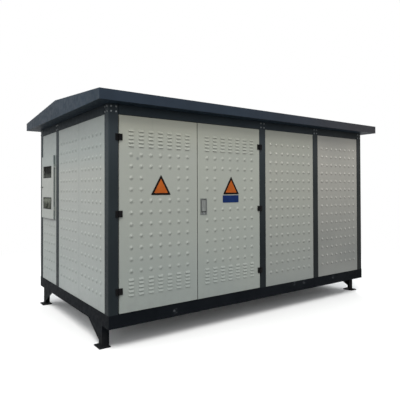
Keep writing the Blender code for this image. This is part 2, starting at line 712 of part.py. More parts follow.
def make_meter_box():
    """A tray let into the wall, with a flange on the wall face and the fixed hinge knuckles."""
    along, foot = meter_centre()
    half = METER_WIDTH / 2
    hole = half - METER_MARGIN - SEAT_GAP
    base = METER_MARGIN + SEAT_GAP
    crown = METER_HEIGHT - METER_MARGIN - SEAT_GAP
    wall = METER_BOX_WALL
    flange = (-SEAT_GAP - METER_FLANGE, -SEAT_GAP)
    mesh = box_mesh("meter_box", (-half, flange[0], 0), (half, flange[1], METER_HEIGHT))
    box = working_object("meter_box", mesh)
    axis_x = half + METER_AXIS_SIDE
    axis_y = -SEAT_GAP - METER_FLANGE - METER_DOOR_GAP - METER_DOOR_THICKNESS / 2
    inner = hole - wall
    tools = [
        (box_mesh("tray", (-hole, flange[0] + METER_FLANGE / 2, base),
                  (hole, METER_BOX_DEPTH, crown)), "UNION"),
        (box_mesh("hollow", (-inner, -OVERCUT, base + wall),
                  (inner, METER_BOX_DEPTH - wall, crown - wall)), "DIFFERENCE"),
    ]
    radius = METER_BARREL_RADIUS
    for low, high in barrel_spans(False):
        outer = axis_x + METER_PIN_RADIUS
        strap = box_mesh("strap", (half - radius, flange[0], low), (outer, flange[1], high))
        stem = box_mesh("stem", (axis_x - METER_PIN_RADIUS, axis_y, low), (outer, flange[1], high))
        tools.append((strap, "UNION"))
        tools.append((stem, "UNION"))
        place = (axis_x, axis_y)
        tools.append((cylinder_mesh("knuckle", radius, low, high, "Z", SMALL_SIDES, place), "UNION"))
        rise = METER_BARREL_HEIGHT / 2 - METER_PIN_SHORT
        pin = cylinder_mesh("pin", METER_PIN_RADIUS, high - radius, high + rise, "Z", SMALL_SIDES, place)
        tools.append((pin, "UNION"))
    item = add_object("meter_box", finish_mesh(box, tools), PANEL_PAINT)
    item.location = wall_point("left", along, PANEL_RECESS, foot)
    item.rotation_euler = (0, 0, math.radians(WALLS["left"][0]))


def make_meter_door():
    """The cabinet's door with two glazed windows and a knob; its origin is on the hinge axis."""
    turn = WALLS["left"][0]
    near = -METER_AXIS_SIDE
    far = near - METER_WIDTH
    half = METER_DOOR_THICKNESS / 2
    mesh = box_mesh("meter_door", (far, -half, 0), (near, half, METER_HEIGHT))
    door = working_object("meter_door", mesh)
    middle = (near + far) / 2
    tools = []
    for centre in METER_WINDOW_CENTRES:
        tools.append((window_box(middle, centre, 0, -half - OVERCUT, half + OVERCUT), "DIFFERENCE"))
        tools.append((window_box(middle, centre, METER_GLASS_LAP, 0, half + OVERCUT), "DIFFERENCE"))
    reach = METER_AXIS_SIDE - METER_PIN_RADIUS
    for low, high in barrel_spans(True):
        tools.append((box_mesh("tongue", (-METER_AXIS_SIDE - reach, -METER_PIN_RADIUS, low),
                               (-METER_PIN_RADIUS, METER_PIN_RADIUS, high)), "UNION"))
        tools.append((cylinder_mesh("knuckle", METER_BARREL_RADIUS, low, high, "Z", SMALL_SIDES), "UNION"))
        bore = METER_PIN_RADIUS + HINGE_PIN_CLEARANCE
        tool = cylinder_mesh("bore", bore, low - OVERCUT, high + OVERCUT, "Z", SMALL_SIDES)
        tools.append((tool, "DIFFERENCE"))
    item = add_object("meter_door", finish_mesh(door, tools), PANEL_PAINT, meter_axis(), turn)

    for word, centre in zip(("lower", "upper"), METER_WINDOW_CENTRES):
        lap = METER_GLASS_LAP - SEAT_GAP
        pane = window_box(middle, centre, lap, SEAT_GAP, SEAT_GAP + METER_GLASS)
        glass = add_object(f"meter_window_{word}", pane, GLASS)
        glass.parent = item
    knob = add_object("meter_knob", knob_mesh(), HANDLE_METAL)
    knob.location = (far + KNOB_INSET, -half - SEAT_GAP, METER_HEIGHT / 2)
    knob.parent = item


def window_box(middle, centre, lap, front, back):
    """A window's block in the door, from its front to its back depth."""
    half_x = METER_WINDOW_WIDTH / 2 + lap
    half_z = METER_WINDOW_HEIGHT / 2 + lap
    low = (middle - half_x, front, centre - half_z)
    return box_mesh("window", low, (middle + half_x, back, centre + half_z))


def knob_mesh():
    """A turned knob that stands out of the door along -Y."""
    def build(data):
        back = Matrix.Rotation(math.pi / 2, 4, "X")
        place = Matrix.Translation((0, -KNOB_LENGTH / 2, 0)) @ back
        bmesh.ops.create_cone(data, cap_ends=True, segments=HINGE_SIDES, radius1=KNOB_NECK_RADIUS,
                              radius2=KNOB_RADIUS, depth=KNOB_LENGTH, matrix=place)
    return mesh_from("meter_knob", build)


def gable_outline(inset):
    """The roof's section across its width, shrunk by the sheet's thickness."""
    half = WIDTH / 2 + OVERHANG_SIDE
    eaves = FASCIA_HEIGHT - inset
    ridge = FASCIA_HEIGHT + ROOF_RISE - inset
    foot = -OVERCUT if inset else 0.0
    half -= inset
    return [(-half, foot), (half, foot), (half, eaves), (0, ridge), (-half, eaves)]


def make_roof():
    length = LENGTH + 2 * OVERHANG_END
    upright = Matrix(((0, 0, 1), (1, 0, 0), (0, 1, 0))).to_4x4()
    shell = add_object("roof_shell", bar_mesh("roof_shell", gable_outline(0), length), ROOF_PAINT)
    shell.matrix_world = Matrix.Translation((0, 0, BEAM_TOP)) @ upright
    hollow = add_cutter("roof_hollow", bar_mesh("roof_hollow", gable_outline(ROOF_SHEET),
                                                length - 2 * ROOF_SHEET), shell)
    apply_boolean(shell, hollow, "DIFFERENCE")

    inset = ROOF_SHEET + SEAT_GAP
    width = WIDTH + 2 * (OVERHANG_SIDE - inset)
    mesh = pan_mesh("ceiling_panel", length - 2 * inset, CEILING_THICKNESS, width)
    mesh.transform(Matrix.Rotation(math.pi / 2, 4, "X"))
    add_object("ceiling_panel", mesh, ROOF_PAINT, (0, 0, BEAM_TOP + SEAT_GAP))


def main():
    make_base()
    make_legs()
    make_posts()
    make_beams()
    make_panels()
    left = make_leaf("door_leaf_left", -1)
    right = make_leaf("door_leaf_right", 1)
    make_hinges(-1, "left", left)
    make_hinges(1, "right", right)
    make_handle(right)
    make_meter_box()
    make_meter_door()
    make_roof()


main()
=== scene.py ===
"""Looks of the compact substation: paints, embossed dimples, bolts, screws, plates, light and camera.

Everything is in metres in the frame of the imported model: +Z up, the front faces -Y. Colours are 0-255 display
levels, but tints and the colours of sky and lamps are scene-linear.
"""
import math

import bmesh
import bpy
from mathutils import Matrix, Vector


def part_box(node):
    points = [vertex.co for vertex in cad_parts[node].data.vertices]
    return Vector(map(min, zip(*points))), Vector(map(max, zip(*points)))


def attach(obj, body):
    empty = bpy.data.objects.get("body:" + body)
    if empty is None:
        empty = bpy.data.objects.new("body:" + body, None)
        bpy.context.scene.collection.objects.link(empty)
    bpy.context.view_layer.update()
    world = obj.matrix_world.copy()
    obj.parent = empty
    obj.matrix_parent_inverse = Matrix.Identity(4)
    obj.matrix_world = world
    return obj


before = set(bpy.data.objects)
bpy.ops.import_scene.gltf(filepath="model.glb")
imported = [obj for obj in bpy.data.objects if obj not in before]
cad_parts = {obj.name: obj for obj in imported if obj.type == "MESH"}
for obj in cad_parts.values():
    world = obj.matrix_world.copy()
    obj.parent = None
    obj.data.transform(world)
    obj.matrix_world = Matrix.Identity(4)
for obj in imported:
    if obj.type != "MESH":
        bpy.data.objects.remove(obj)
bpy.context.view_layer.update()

# Faces and edges of the solids
HALF_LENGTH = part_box("corner_post_front_right")[1].x
HALF_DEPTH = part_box("corner_post_back_left")[1].y
BEAM_MIDDLE = (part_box("top_beam_front")[0].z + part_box("top_beam_front")[1].z) / 2
FRONT_FACE = -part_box("wall_panel_front_2")[0].y
METER_DOOR_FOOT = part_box("meter_door")[0].z

SIDES = {"front": 0, "right": 90, "back": 180, "left": -90}    # degrees round from the front
BURIED = 0.0005               # how deep a small piece starts in what carries it

# Embossed dimples of the fixed sheets: rows from the top, above the ground
WALL_TOP_ROW = 2.1755
WALL_ROW_PITCH = 0.1177
WALL_ROWS = 15
METER_FIRST_ROW = 9           # the rows above it lie behind the metering cabinet
WALL_DIMPLE = (0.0268, 0.0128)    # radius and height
END_DIMPLE = (0.0255, 0.0098)
PANEL_PITCH = 0.1056
END_PITCH = 0.1068

# Embossed dimples of the door leaves, between the banks of louvres
DOOR_TOP_ROW = 2.1930
DOOR_ROW_PITCH = 0.11864
DOOR_ROWS = range(2, 13)
DOOR_COLUMNS = 7
DOOR_DIMPLE = (0.0275, 0.0102)
DOOR_PITCH = 0.1147

# Those that the plates and the handle leave out, as (row, column) of a leaf
LEFT_BARE = {(row, column) for row in (4, 5) for column in (2, 3, 4)}
RIGHT_BARE = {(row, column) for row in (4, 5, 6) for column in (2, 3, 4)} | {(6, 0), (7, 0)}

DIMPLE_SINK = 0.0012          # closed foot inside the sheet
DIMPLE_SIDES = 18
DIMPLE_RINGS = 5
DIMPLE_CREASE = 60            # degrees, so that a dimple is shaded smooth up to its foot

# Hexagon bolts on the beams, four over each post
CORNER_POST_MIDDLE = 0.0545   # from the end of the beam
BOLT_SPREAD_ALONG = 0.027
BOLT_SPREAD_UP = 0.02538
BOLT_RADIUS = 0.0070
BOLT_HEIGHT = 0.005
BOLT_SEAT = 0.0003            # how deep the head starts in its washer
BOLT_CHAMFER = 0.0012
BOLT_SIDES = 6
BOLT_END_RADIUS = 0.00434
BOLT_END_HEIGHT = 0.0025      # beyond the head
BOLT_END_SIDES = 12
BOLT_TURN = (40, 70, 110)     # radians a metre of post place, step along and step up: no two heads alike
WASHER_RADIUS = 0.0095
WASHER_HEIGHT = 0.002
WASHER_CHAMFER = 0.0005
WASHER_SIDES = 20

# Socket screws, two on each half of a block hinge
SCREW_INSET = 0.012           # from the half's outer edge
SCREW_SPREAD = 0.019
SCREW_RADIUS = 0.0062
SCREW_HEIGHT = 0.0018
SCREW_CHAMFER = 0.0006
SCREW_SIDES = 16
HINGE_PLATE = 0.009           # out of the posts' and leaves' faces

# Bare plates on the leaves: edges from the frame's left end, foot and head above the ground
TRIANGLES = (("left", "door_left", 0.4743, 0.7173, 1.5417, 1.757),
             ("right", "door_right", 1.4420, 1.6870, 1.5377, 1.751))
BLUE_PLATE = (1.4367, 1.6817, 1.4400, 1.5267)
PLATE_HEIGHT = 0.0022
PLATE_CORNER = 0.004
PLATE_CHAMFER = 0.0008
RIM_WIDTH = 0.021
RIM_HEIGHT = 0.0030
RIM_CORNER = 0.006

# Details of the handle's pan, from its lower edge and its sides
LOCK_PLACE = 0.0165
LOCK_RADIUS = 0.0095
LOCK_HEIGHT = 0.003
LOCK_CHAMFER = 0.0008
LOCK_SIDES = 24
BARREL_RADIUS = 0.0068
BARREL_HEIGHT = 0.0045
BARREL_CHAMFER = 0.0006
BARREL_SIDES = 20
KEYWAY = (-0.0010, 0.0010, -0.0042, 0.0042)    # on the barrel's face
KEYWAY_HEIGHT = 0.0003
RIVET_INSET = (0.006, 0.007)
RIVET = (0.0028, 0.0014)          # radius and height
RIVET_SIDES = 10
RECESS_FOOT = 0.030
HANDLE_SLOT = (-0.0325, 0.0325, 0.0006, 0.0075)    # at the recess's foot, below the lever
HANDLE_SLOT_DEPTHS = (-0.012, -0.002)

# Metering door: its leaf without the hinge knuckles, and its rubber
METER_DOOR_WIDTH = 0.528
METER_DOOR_DEPTH = 0.016
GASKET_LAP = 0.0097           # a pane's edge behind the door's sheet
GASKET_GROWTH = (0.006, -0.003)    # outer and inner edge, beyond the opening
GASKET_CORNER = 0.006
GASKET_DEPTHS = (-0.002, 0.0025)
SEAL_GROWTH = (0.0015, -0.0002)    # outer and inner edge, beyond the leaf
SEAL_FRONT = 0.0078           # behind the leaf's face

# Rubber on the meeting edge of the right leaf, from the leaf's edge and ends
EDGE_SEAL_OUT = 0.0012
EDGE_SEAL_IN = 0.0003
EDGE_SEAL_SHORT = 0.002
EDGE_SEAL_DEPTHS = (-0.030, -0.0015)

# Sealant and cover strips over sheet joints
JOINT_SHORT = 0.001           # their ends below the sheets' ends
SEALANT_HALF = 0.0018
SEALANT_DEPTHS = (-0.004, 0.0003)
STRIP_HALF = 0.008
STRIP_HEIGHT = 0.0015
STRIP_CHAMFER = 0.0005

# Heights above the ground between which the sheets change: painted light, splashes and painted highlights
EAVE = (1.95, 2.34)           # painted light above, against the eave's shadow
SPLASHED = (0.36, 0.75)       # splashed below
GLINT_HEIGHTS = (1.62, 2.20)        # painted highlights on the dimples' crowns, stronger above
CROWN_RISE = (0.006, 0.012)   # where a crown starts, out of the sheet
SHADOW_FADE = ((-0.036, -0.006), (-0.002, 0.004))    # painted shadow comes and goes, from the edge above it
LEAF_SMUDGE = (-1.775, -1.205, 1.918)
SMUDGE_REACH = (0.004, 0.026)

# Heights and places between which the dark paints change, as painted light and shade
HEAD_PALE = (1.50, 2.60)
LEFT_SHEEN_HEIGHTS = (0.9, 1.7)
RIGHT_WARMED = (-0.6, 2.0)    # along X; painted warm tone of the light towards the right
BACK_SHADED = (-0.6, 1.3)     # along Y
RIGHT_SHADED = (1.1, 2.1)     # along X, on the base

# Pale marks on the front of the base: place, and strength as the last number
BASE_MARKS = ((-1.320, -1.205, 0.278, 0.9), (0.563, -1.205, 0.332, 0.35),
              (0.763, -1.205, 0.320, 0.35), (1.388, -1.205, 0.312, 0.35))
MARK_REACH = 0.042

# Stretch of noise into upright streaks
RUNNING = (1.0, 1.0, 0.06)
SCRATCHED = (1.0, 1.0, 0.12)
BRUSHED = (1.0, 1.0, 0.04)

# Tints of dark paint, as scene-linear factors: painted tones of the light
WARM_TINT = (1.0, 0.79, 0.61, 1.0)
COOL_LIGHT_TINT = (0.86, 1.06, 1.11, 1.0)

# Colours of dust, dirt and wear, of painted light, shade and highlights, and of the ground
EAVE_LIGHT = (196, 194, 174)
RUN = (116, 117, 108)
GRAIN = (126, 127, 120)
SPLASH = (122, 126, 124)
SMUDGE = (92, 97, 98)
CROWN_GLINT = (220, 218, 210)
DOOR_SHADOW = (60, 65, 66)
DUST = (118, 118, 112)
SCRATCH = (150, 150, 146)
DARK_FOOT = (26, 31, 34)
HEAD_LIGHT = (60, 67, 72)
LEFT_SHEEN = (92, 99, 102)
SHADED = (16, 18, 21)
BLUE_UNDERSIDE_SHADE = (33, 44, 54)
MUD = (84, 80, 73)
PALE_MARK = (120, 124, 128)
PLATE_DUST = (150, 148, 140)
GLASS_DUST = (140, 142, 134)
GROUND_SEEN = (246, 246, 246)
GROUND_LIT = (76, 76, 74)

# Floor, sky and lamps
FLOOR_REACH = 60.0
FLOOR_DROP = 0.0005
FLOOR_FADE = (2.6, 6.5)       # turns to plain white between these distances from the origin
SKY_COLOUR = (0.97, 0.99, 1.0, 1.0)
SKY_LEVEL = 1.20
SKY_OVERHEAD = -0.24
SKY_LEFT = 0.20
LAMP_AIM = (0, 0, 1.2)
LAMPS = (("key_overhead", (-7.5, -9.5, 16.0), 9.0, 2200.0, (1.0, 0.985, 0.96)),
         ("fill_behind", (12.0, 15.0, 12.0), 12.0, 2000.0, (0.97, 0.985, 1.0)))

# Camera, fitted to the photograph's edges
CAMERA_PLACE = (-3.7964, -5.1336, 1.6063)
CAMERA_HEADING = 0.95005
CAMERA_PITCH = 0.0120
CAMERA_ROLL = -0.0034
CAMERA_LENS = 38.26
CAMERA_SHIFT_Y = -0.0410
CAMERA_SENSOR = 36.0


def linear(*levels):
    """Scene-linear colour from 0-255 display levels."""
    values = []
    for level in levels:
        share = level / 255
        values.append(share / 12.92 if share <= 0.04045 else ((share + 0.055) / 1.055) ** 2.4)
    return (*values, 1.0)


class Paint:
    """A Principled material whose inputs are fed by procedural nodes."""

    def __init__(self, name):
        self.material = bpy.data.materials.new(name)
        self.material.use_nodes = True
        self.tree = self.material.node_tree
        self.shader = self.tree.nodes["Principled BSDF"]
        place = self.tree.nodes.new("ShaderNodeTexCoord")
        self.object_place = place.outputs["Object"]
        self.object_normal = place.outputs["Normal"]

    def feed(self, socket, value):
        if isinstance(value, bpy.types.NodeSocket):
            self.tree.links.new(value, socket)
        else:
            socket.default_value = value

    def noise(self, scale, detail=3.0, rough=0.5, stretch=(1.0, 1.0, 1.0), shift=0.0):
        """Noise from 0 to 1 over the object's place; another shift gives another pattern."""
        place = self.tree.nodes.new("ShaderNodeMapping")
        self.feed(place.inputs["Vector"], self.object_place)
        place.inputs["Scale"].default_value = stretch
        node = self.tree.nodes.new("ShaderNodeTexNoise")
        node.noise_dimensions = "4D"
        self.feed(node.inputs["Vector"], place.outputs["Vector"])
        node.inputs["Scale"].default_value = scale
        node.inputs["Detail"].default_value = detail
        node.inputs["Roughness"].default_value = rough
        node.inputs["W"].default_value = shift
        return node.outputs["Fac"]

    def part(self, vector, axis):
        node = self.tree.nodes.new("ShaderNodeSeparateXYZ")
        self.feed(node.inputs[0], vector)
        return node.outputs[axis]

    def along(self, axis):
        return self.part(self.object_place, axis)

    def facing(self, axis):
        """1 where a face looks along the negative axis, 0 elsewhere."""
        return self.spread(self.part(self.object_normal, axis), -0.8, -0.5, 1.0, 0.0)

    def distance(self, point):
        node = self.tree.nodes.new("ShaderNodeVectorMath")
        node.operation = "DISTANCE"
        self.feed(node.inputs[0], self.object_place)
        node.inputs[1].default_value = point
        return node.outputs["Value"]

    def spread(self, value, low, high, first=0.0, last=1.0):
        """Map a range smoothly to another."""
        node = self.tree.nodes.new("ShaderNodeMapRange")
        node.interpolation_type = "SMOOTHSTEP"
        for name, level in zip(("From Min", "From Max", "To Min", "To Max"), (low, high, first, last)):
            node.inputs[name].default_value = level
        self.feed(node.inputs["Value"], value)
        return node.outputs["Result"]

    def combine(self, operation, first, second):
        node = self.tree.nodes.new("ShaderNodeMath")
        node.operation = operation
        self.feed(node.inputs[0], first)
        self.feed(node.inputs[1], second)
        return node.outputs[0]

    def both(self, first, second):
        """Product of two values, so that only what is in both stays."""
        return self.combine("MULTIPLY", first, second)

    def mix(self, factor, first, second, kind="MIX"):
        node = self.tree.nodes.new("ShaderNodeMix")
        node.data_type = "RGBA"
        node.blend_type = kind
        self.feed(node.inputs["Factor"], factor)
        self.feed(node.inputs["A"], first)
        self.feed(node.inputs["B"], second)
        return node.outputs["Result"]

    def stain(self, body, value, low, high, share, colour):
        """Mix up to a share of a colour in, as a value goes from low to high."""
        return self.mix(self.spread(value, low, high, 0.0, share), body, linear(*colour))

    def bump(self, height, strength, distance, before=None):
        node = self.tree.nodes.new("ShaderNodeBump")
        node.inputs["Strength"].default_value = strength
        node.inputs["Distance"].default_value = distance
        self.feed(node.inputs["Height"], height)
        if before is not None:
            self.feed(node.inputs["Normal"], before)
        return node.outputs["Normal"]

    def finish(self, colour, roughness, normal, specular=0.5, metallic=0.0):
        self.feed(self.shader.inputs["Base Color"], colour)
        self.feed(self.shader.inputs["Roughness"], roughness)
        self.feed(self.shader.inputs["Normal"], normal)
        self.shader.inputs["Specular IOR Level"].default_value = specular
        self.shader.inputs["Metallic"].default_value = metallic
        return self.material


def panel_paint(name, low, high, patch, eave_light, reach=(0.1, 1.9), crown_glints=None, head=None, shadow_edge=None):
    """Pale grey powder coat with large patches, faint runs, dust, and splashes near the ground.

    low and high are its colours at the two heights in reach; its darkening towards the foot is painted shade.
    The fifth argument says how much painted light lifts it under the eave, against the eave's shadow. The
    argument for the crowns gives how strong the painted highlights on the dimples' crowns are at the two
    heights of their band, head two heights and a colour of painted shade above them, and the last argument the
    height of an edge that a painted shadow lies under.
    """
    paint = Paint(name)
    height = paint.along("Z")
    # painted shade: darker towards the foot, from the high colour to the low one
    body = paint.mix(paint.spread(height, *reach), linear(*low), linear(*high))
    body = paint.stain(body, paint.noise(0.9, 2.0, 0.55), 0.35, 0.7, 0.5, patch)
    # painted light under the eave, against the eave's shadow
    body = paint.stain(body, height, *EAVE, eave_light, EAVE_LIGHT)
    # painted shade near the top, in the head colour
    if head:
        start, end, colour = head
        body = paint.stain(body, height, start, end, 1.0, colour)
    body = paint.stain(body, paint.noise(18.0, 4.0, 0.6, RUNNING), 0.56, 0.78, 0.12, RUN)
    body = paint.stain(body, paint.noise(55.0, 6.0, 0.7), 0.5, 0.8, 0.10, GRAIN)
    splash = paint.both(paint.spread(height, *SPLASHED, 1.0, 0.0), paint.noise(9.0, 6.0, 0.7, shift=2.0))
    body = paint.stain(body, splash, 0.30, 0.72, 0.35, SPLASH)
    smudge = paint.spread(paint.distance(LEAF_SMUDGE), *SMUDGE_REACH, 0.6, 0.0)
    body = paint.mix(smudge, body, linear(*SMUDGE))
    # painted highlights on the dimples' crowns, stronger higher up
    if crown_glints:
        out = paint.both(paint.along("Y"), -1.0)
        crown = paint.spread(out, *(FRONT_FACE + rise for rise in CROWN_RISE))
        pale = paint.both(crown, paint.spread(height, *GLINT_HEIGHTS, *crown_glints))
        body = paint.mix(pale, body, linear(*CROWN_GLINT))
    # painted shadow in a band under the edge at the given height: the metering door's foot
    if shadow_edge:
        (start, full), (edge, end) = SHADOW_FADE
        shadow_mask = paint.both(paint.spread(height, shadow_edge + start, shadow_edge + full, 0.0, 0.8),
                          paint.spread(height, shadow_edge + edge, shadow_edge + end, 1.0, 0.0))
        body = paint.mix(shadow_mask, body, linear(*DOOR_SHADOW))
    normal = paint.bump(paint.noise(420.0, 2.0), 0.25, 0.0004)
    normal = paint.bump(paint.noise(2.2, 2.0, 0.4, shift=5.0), 0.5, 0.010, normal)
    rough = paint.spread(paint.noise(30.0, 4.0), 0.3, 0.7, 0.34, 0.46)
    return paint.finish(body, rough, normal, specular=0.40)


def dark_paint(name, base, light, dust, wear, gloss=0.05, dark_foot=None, warm=None, cool_light=None, under=SHADED):
    """Satin paint with dust and fine scratches, with a painted warm tone of the light to the right and painted
    shade on its undersides.

    For an upright piece, the argument for the foot gives the heights between which its darker foot ends, and
    how dark it is. Such a piece is paler near its head, as painted light, and takes a painted sheen on its left
    faces.
    warm is the colour that it takes to the right in place of a tint, both a painted warm tone of the light. The
    cool tint of the left faces is painted cool light, and those faces take painted shade towards the back.
    """
    paint = Paint(name)
    body = paint.mix(paint.spread(paint.noise(1.7, 3.0, 0.55), 0.35, 0.68), linear(*base), linear(*light))
    body = paint.stain(body, paint.noise(70.0, 7.0, 0.75, shift=3.0), 0.52, 0.78, dust, DUST)
    body = paint.stain(body, paint.noise(38.0, 5.0, 0.7, SCRATCHED, 7.0), 0.66, 0.74, wear, SCRATCH)
    if dark_foot:
        height = paint.along("Z")
        # darker towards the foot
        body = paint.mix(paint.spread(height, *dark_foot, 0.0), body, linear(*DARK_FOOT))
        # painted light: paler near the head
        body = paint.stain(body, height, *HEAD_PALE, 1.0, HEAD_LIGHT)
        # painted sky sheen on the left faces
        sheen = paint.both(paint.facing("X"), paint.spread(height, *LEFT_SHEEN_HEIGHTS, 0.0, 0.14))
        body = paint.mix(sheen, body, linear(*LEFT_SHEEN))
    # painted warm tone of the light towards the right: the tint, or the given warm colour
    warmed = paint.spread(paint.along("X"), *RIGHT_WARMED, 0.0, 0.55)
    if warm:
        body = paint.mix(warmed, body, linear(*warm))
    else:
        body = paint.mix(warmed, body, WARM_TINT, "MULTIPLY")
    # painted cool light on the left faces, and painted shade on them towards the back
    if cool_light:
        left = paint.facing("X")
        body = paint.mix(left, body, cool_light, "MULTIPLY")
        shade = paint.both(left, paint.spread(paint.along("Y"), *BACK_SHADED, 0.0, 0.24))
        body = paint.mix(shade, body, linear(0, 0, 0))
    # painted shade on the faces that look down, in the under colour
    body = paint.mix(paint.facing("Z"), body, linear(*under))
    normal = paint.bump(paint.noise(380.0, 2.0), 0.2, 0.0004)
    normal = paint.bump(paint.noise(5.0, 2.0, 0.4, shift=5.0), 0.35, 0.004, normal)
    rough = paint.spread(paint.noise(22.0, 4.0), 0.3, 0.7, 0.44, 0.6)
    return paint.finish(body, rough, normal, specular=gloss)


def base_paint():
    """Black bitumen-like paint with grey mud low down and pale marks."""
    paint = Paint("black_base_paint")
    body = paint.mix(paint.spread(paint.noise(3.0, 4.0), 0.35, 0.7), linear(14, 17, 21), linear(20, 23, 27))
    body = paint.stain(body, paint.along("X"), *RIGHT_SHADED, 0.6, (6, 8, 9))
    low = paint.spread(paint.along("Z"), 0.0, 0.36, 1.0, 0.15)
    mud = paint.both(low, paint.noise(14.0, 7.0, 0.7, shift=4.0))
    body = paint.stain(body, mud, 0.25, 0.65, 0.12, MUD)
    mark_noise = paint.noise(26.0, 6.0, 0.75, (1.0, 1.0, 1.6), 9.0)
    for *mark, strength in BASE_MARKS:
        near = paint.spread(paint.distance(mark), 0.0, MARK_REACH, strength, 0.0)
        body = paint.mix(paint.both(near, paint.spread(mark_noise, 0.45, 0.62)), body, linear(*PALE_MARK))
    normal = paint.bump(paint.noise(160.0, 4.0), 0.3, 0.0008)
    rough = paint.spread(paint.noise(20.0, 4.0), 0.3, 0.7, 0.55, 0.75)
    return paint.finish(body, rough, normal, specular=0.03)


def bare_metal(name, base, light, rough_low, rough_high, stretch=BRUSHED, metal=0.85):
    """Brushed or galvanised metal with a fine grain and smudges."""
    paint = Paint(name)
    grain = paint.noise(240.0, 4.0, 0.6, stretch)
    body = paint.mix(paint.spread(grain, 0.35, 0.65), linear(*base), linear(*light))
    smudge = paint.noise(24.0, 5.0, 0.6, shift=6.0)
    body = paint.stain(body, smudge, 0.5, 0.75, 0.4, base)
    normal = paint.bump(grain, 0.15, 0.0004)
    rough = paint.spread(smudge, 0.3, 0.7, rough_low, rough_high)
    return paint.finish(body, rough, normal, metallic=metal)


def plate_paint(name, base, shade):
    """Enamel of a bare plate, a little faded and dusty."""
    paint = Paint(name)
    body = paint.mix(paint.spread(paint.noise(9.0, 4.0, 0.6), 0.35, 0.7), linear(*base), linear(*shade))
    dust = paint.noise(90.0, 6.0, 0.7, shift=2.0)
    body = paint.stain(body, dust, 0.55, 0.8, 0.18, PLATE_DUST)
    normal = paint.bump(paint.noise(500.0, 2.0), 0.15, 0.0003)
    rough = paint.spread(dust, 0.3, 0.7, 0.38, 0.55)
    return paint.finish(body, rough, normal, specular=0.06)


def meter_glass(name, dark, pale, first, last):
    """Dusty glazing, whose colour is painted light and shade of an uneven depth behind it: dark at the first
    height and pale at the last.
    """
    paint = Paint(name)
    depth = paint.noise(7.0, 3.0, 0.5, (1.0, 1.0, 1.7))
    # painted light and shade: paler towards the last height, and in patches
    level = paint.combine("ADD", paint.spread(paint.along("Z"), first, last, 0.0, 0.7),
                          paint.spread(depth, 0.35, 0.68, 0.0, 0.3))
    body = paint.mix(level, linear(*dark), linear(*pale))
    dust = paint.noise(60.0, 6.0, 0.7, shift=2.0)
    body = paint.stain(body, dust, 0.45, 0.8, 0.06, GLASS_DUST)
    rough = paint.spread(dust, 0.3, 0.75, 0.12, 0.35)
    normal = paint.bump(depth, 0.1, 0.002)
    return paint.finish(body, rough, normal, specular=0.003)


# Copies of one pale paint whose colours are painted light and shade: each darkens towards the foot, the two
# fixed front sheets more so, the right leaf takes less painted light under the eave, and the end and metering
# bay sheets are lighter, with painted shade near their tops.
PANEL = panel_paint("pale_grey_powder_coat", (137, 144, 141), (158, 161, 153), (150, 154, 147), 0.42)
PANEL_LEAF = panel_paint("pale_grey_right_leaf", (136, 143, 140), (160, 163, 154), (150, 154, 147), 0.30)
PANEL_END = panel_paint("pale_grey_end_sheets", (139, 147, 145), (162, 165, 159), (158, 162, 158), 0.0,
                        head=(1.75, 2.05, (154, 161, 157)))
PANEL_METER = panel_paint("pale_grey_meter_bay", (139, 147, 145), (162, 165, 159), (158, 162, 158), 0.0,
                          head=(1.87, 1.94, (149, 157, 154)), shadow_edge=METER_DOOR_FOOT)
PANEL_MIDDLE = panel_paint("pale_grey_middle_sheet", (124, 129, 127), (156, 157, 148), (146, 149, 142), 0.16,
                           crown_glints=(0.04, 0.78))
PANEL_WARM = panel_paint("pale_grey_warm_sheet", (111, 114, 111), (163, 160, 152), (146, 145, 139), 0.0,
                         (0.3, 2.3), crown_glints=(0.32, 1.0))
# the beams' paint is the frame's made lighter, painted light against the eave's shadow; the left beam's is a
# darker copy, painted shade
BEAM = dark_paint("blue_grey_beam_paint", (49, 57, 63), (55, 63, 69), 0.08, 0.04)
BEAM_END = dark_paint("blue_grey_end_beam_paint", (40, 47, 52), (45, 52, 57), 0.08, 0.04)
FRAME = dark_paint("blue_grey_frame_paint", (36, 42, 45), (41, 47, 50), 0.08, 0.04, 0.06,
                   dark_foot=(0.35, 1.40, 0.6))
FRAME_MIDDLE = dark_paint("blue_grey_middle_posts", (36, 42, 45), (41, 47, 50), 0.08, 0.04, 0.06,
                          dark_foot=(0.72, 1.48, 0.95))
ROOF = dark_paint("blue_grey_roof_paint", (39, 48, 59), (44, 54, 66), 0.04, 0.015, 0.10,
                  warm=(60, 54, 53), cool_light=COOL_LIGHT_TINT, under=BLUE_UNDERSIDE_SHADE)
SOFFIT = dark_paint("dark_soffit_paint", (16, 18, 22), (22, 24, 28), 0.06, 0.02, under=BLUE_UNDERSIDE_SHADE)
BASE = base_paint()
HINGE = dark_paint("black_hinge_paint", (14, 14, 15), (24, 24, 25), 0.12, 0.30)
HANDLE = bare_metal("brushed_handle_metal", (106, 109, 107), (140, 143, 140), 0.32, 0.5)
# the pan's metal is a darker copy of the handle's: painted shade of its recess
HANDLE_PAN = bare_metal("brushed_pan_metal", (88, 91, 90), (116, 119, 117), 0.36, 0.5)
ZINC = bare_metal("zinc_plated_steel", (112, 117, 120), (150, 154, 156), 0.35, 0.55, (1.0, 1.0, 1.0), 0.6)
FLOOR_STEEL = bare_metal("floor_primer", (92, 95, 95), (120, 122, 120), 0.5, 0.7, (1.0, 0.2, 1.0), 0.3)
GLASS_UPPER = meter_glass("dark_meter_glass", (12, 14, 11), (80, 83, 78), 1.838, 1.775)
GLASS_LOWER = meter_glass("green_meter_glass", (18, 22, 14), (150, 154, 142), 1.392, 1.476)
RUBBER = dark_paint("rubber_gasket", (12, 13, 14), (20, 21, 22), 0.10, 0.0)
TRIM = dark_paint("blue_grey_trim", (92, 104, 108), (104, 114, 118), 0.12, 0.0)
ORANGE = plate_paint("orange_plate_enamel", (178, 92, 36), (162, 80, 30))
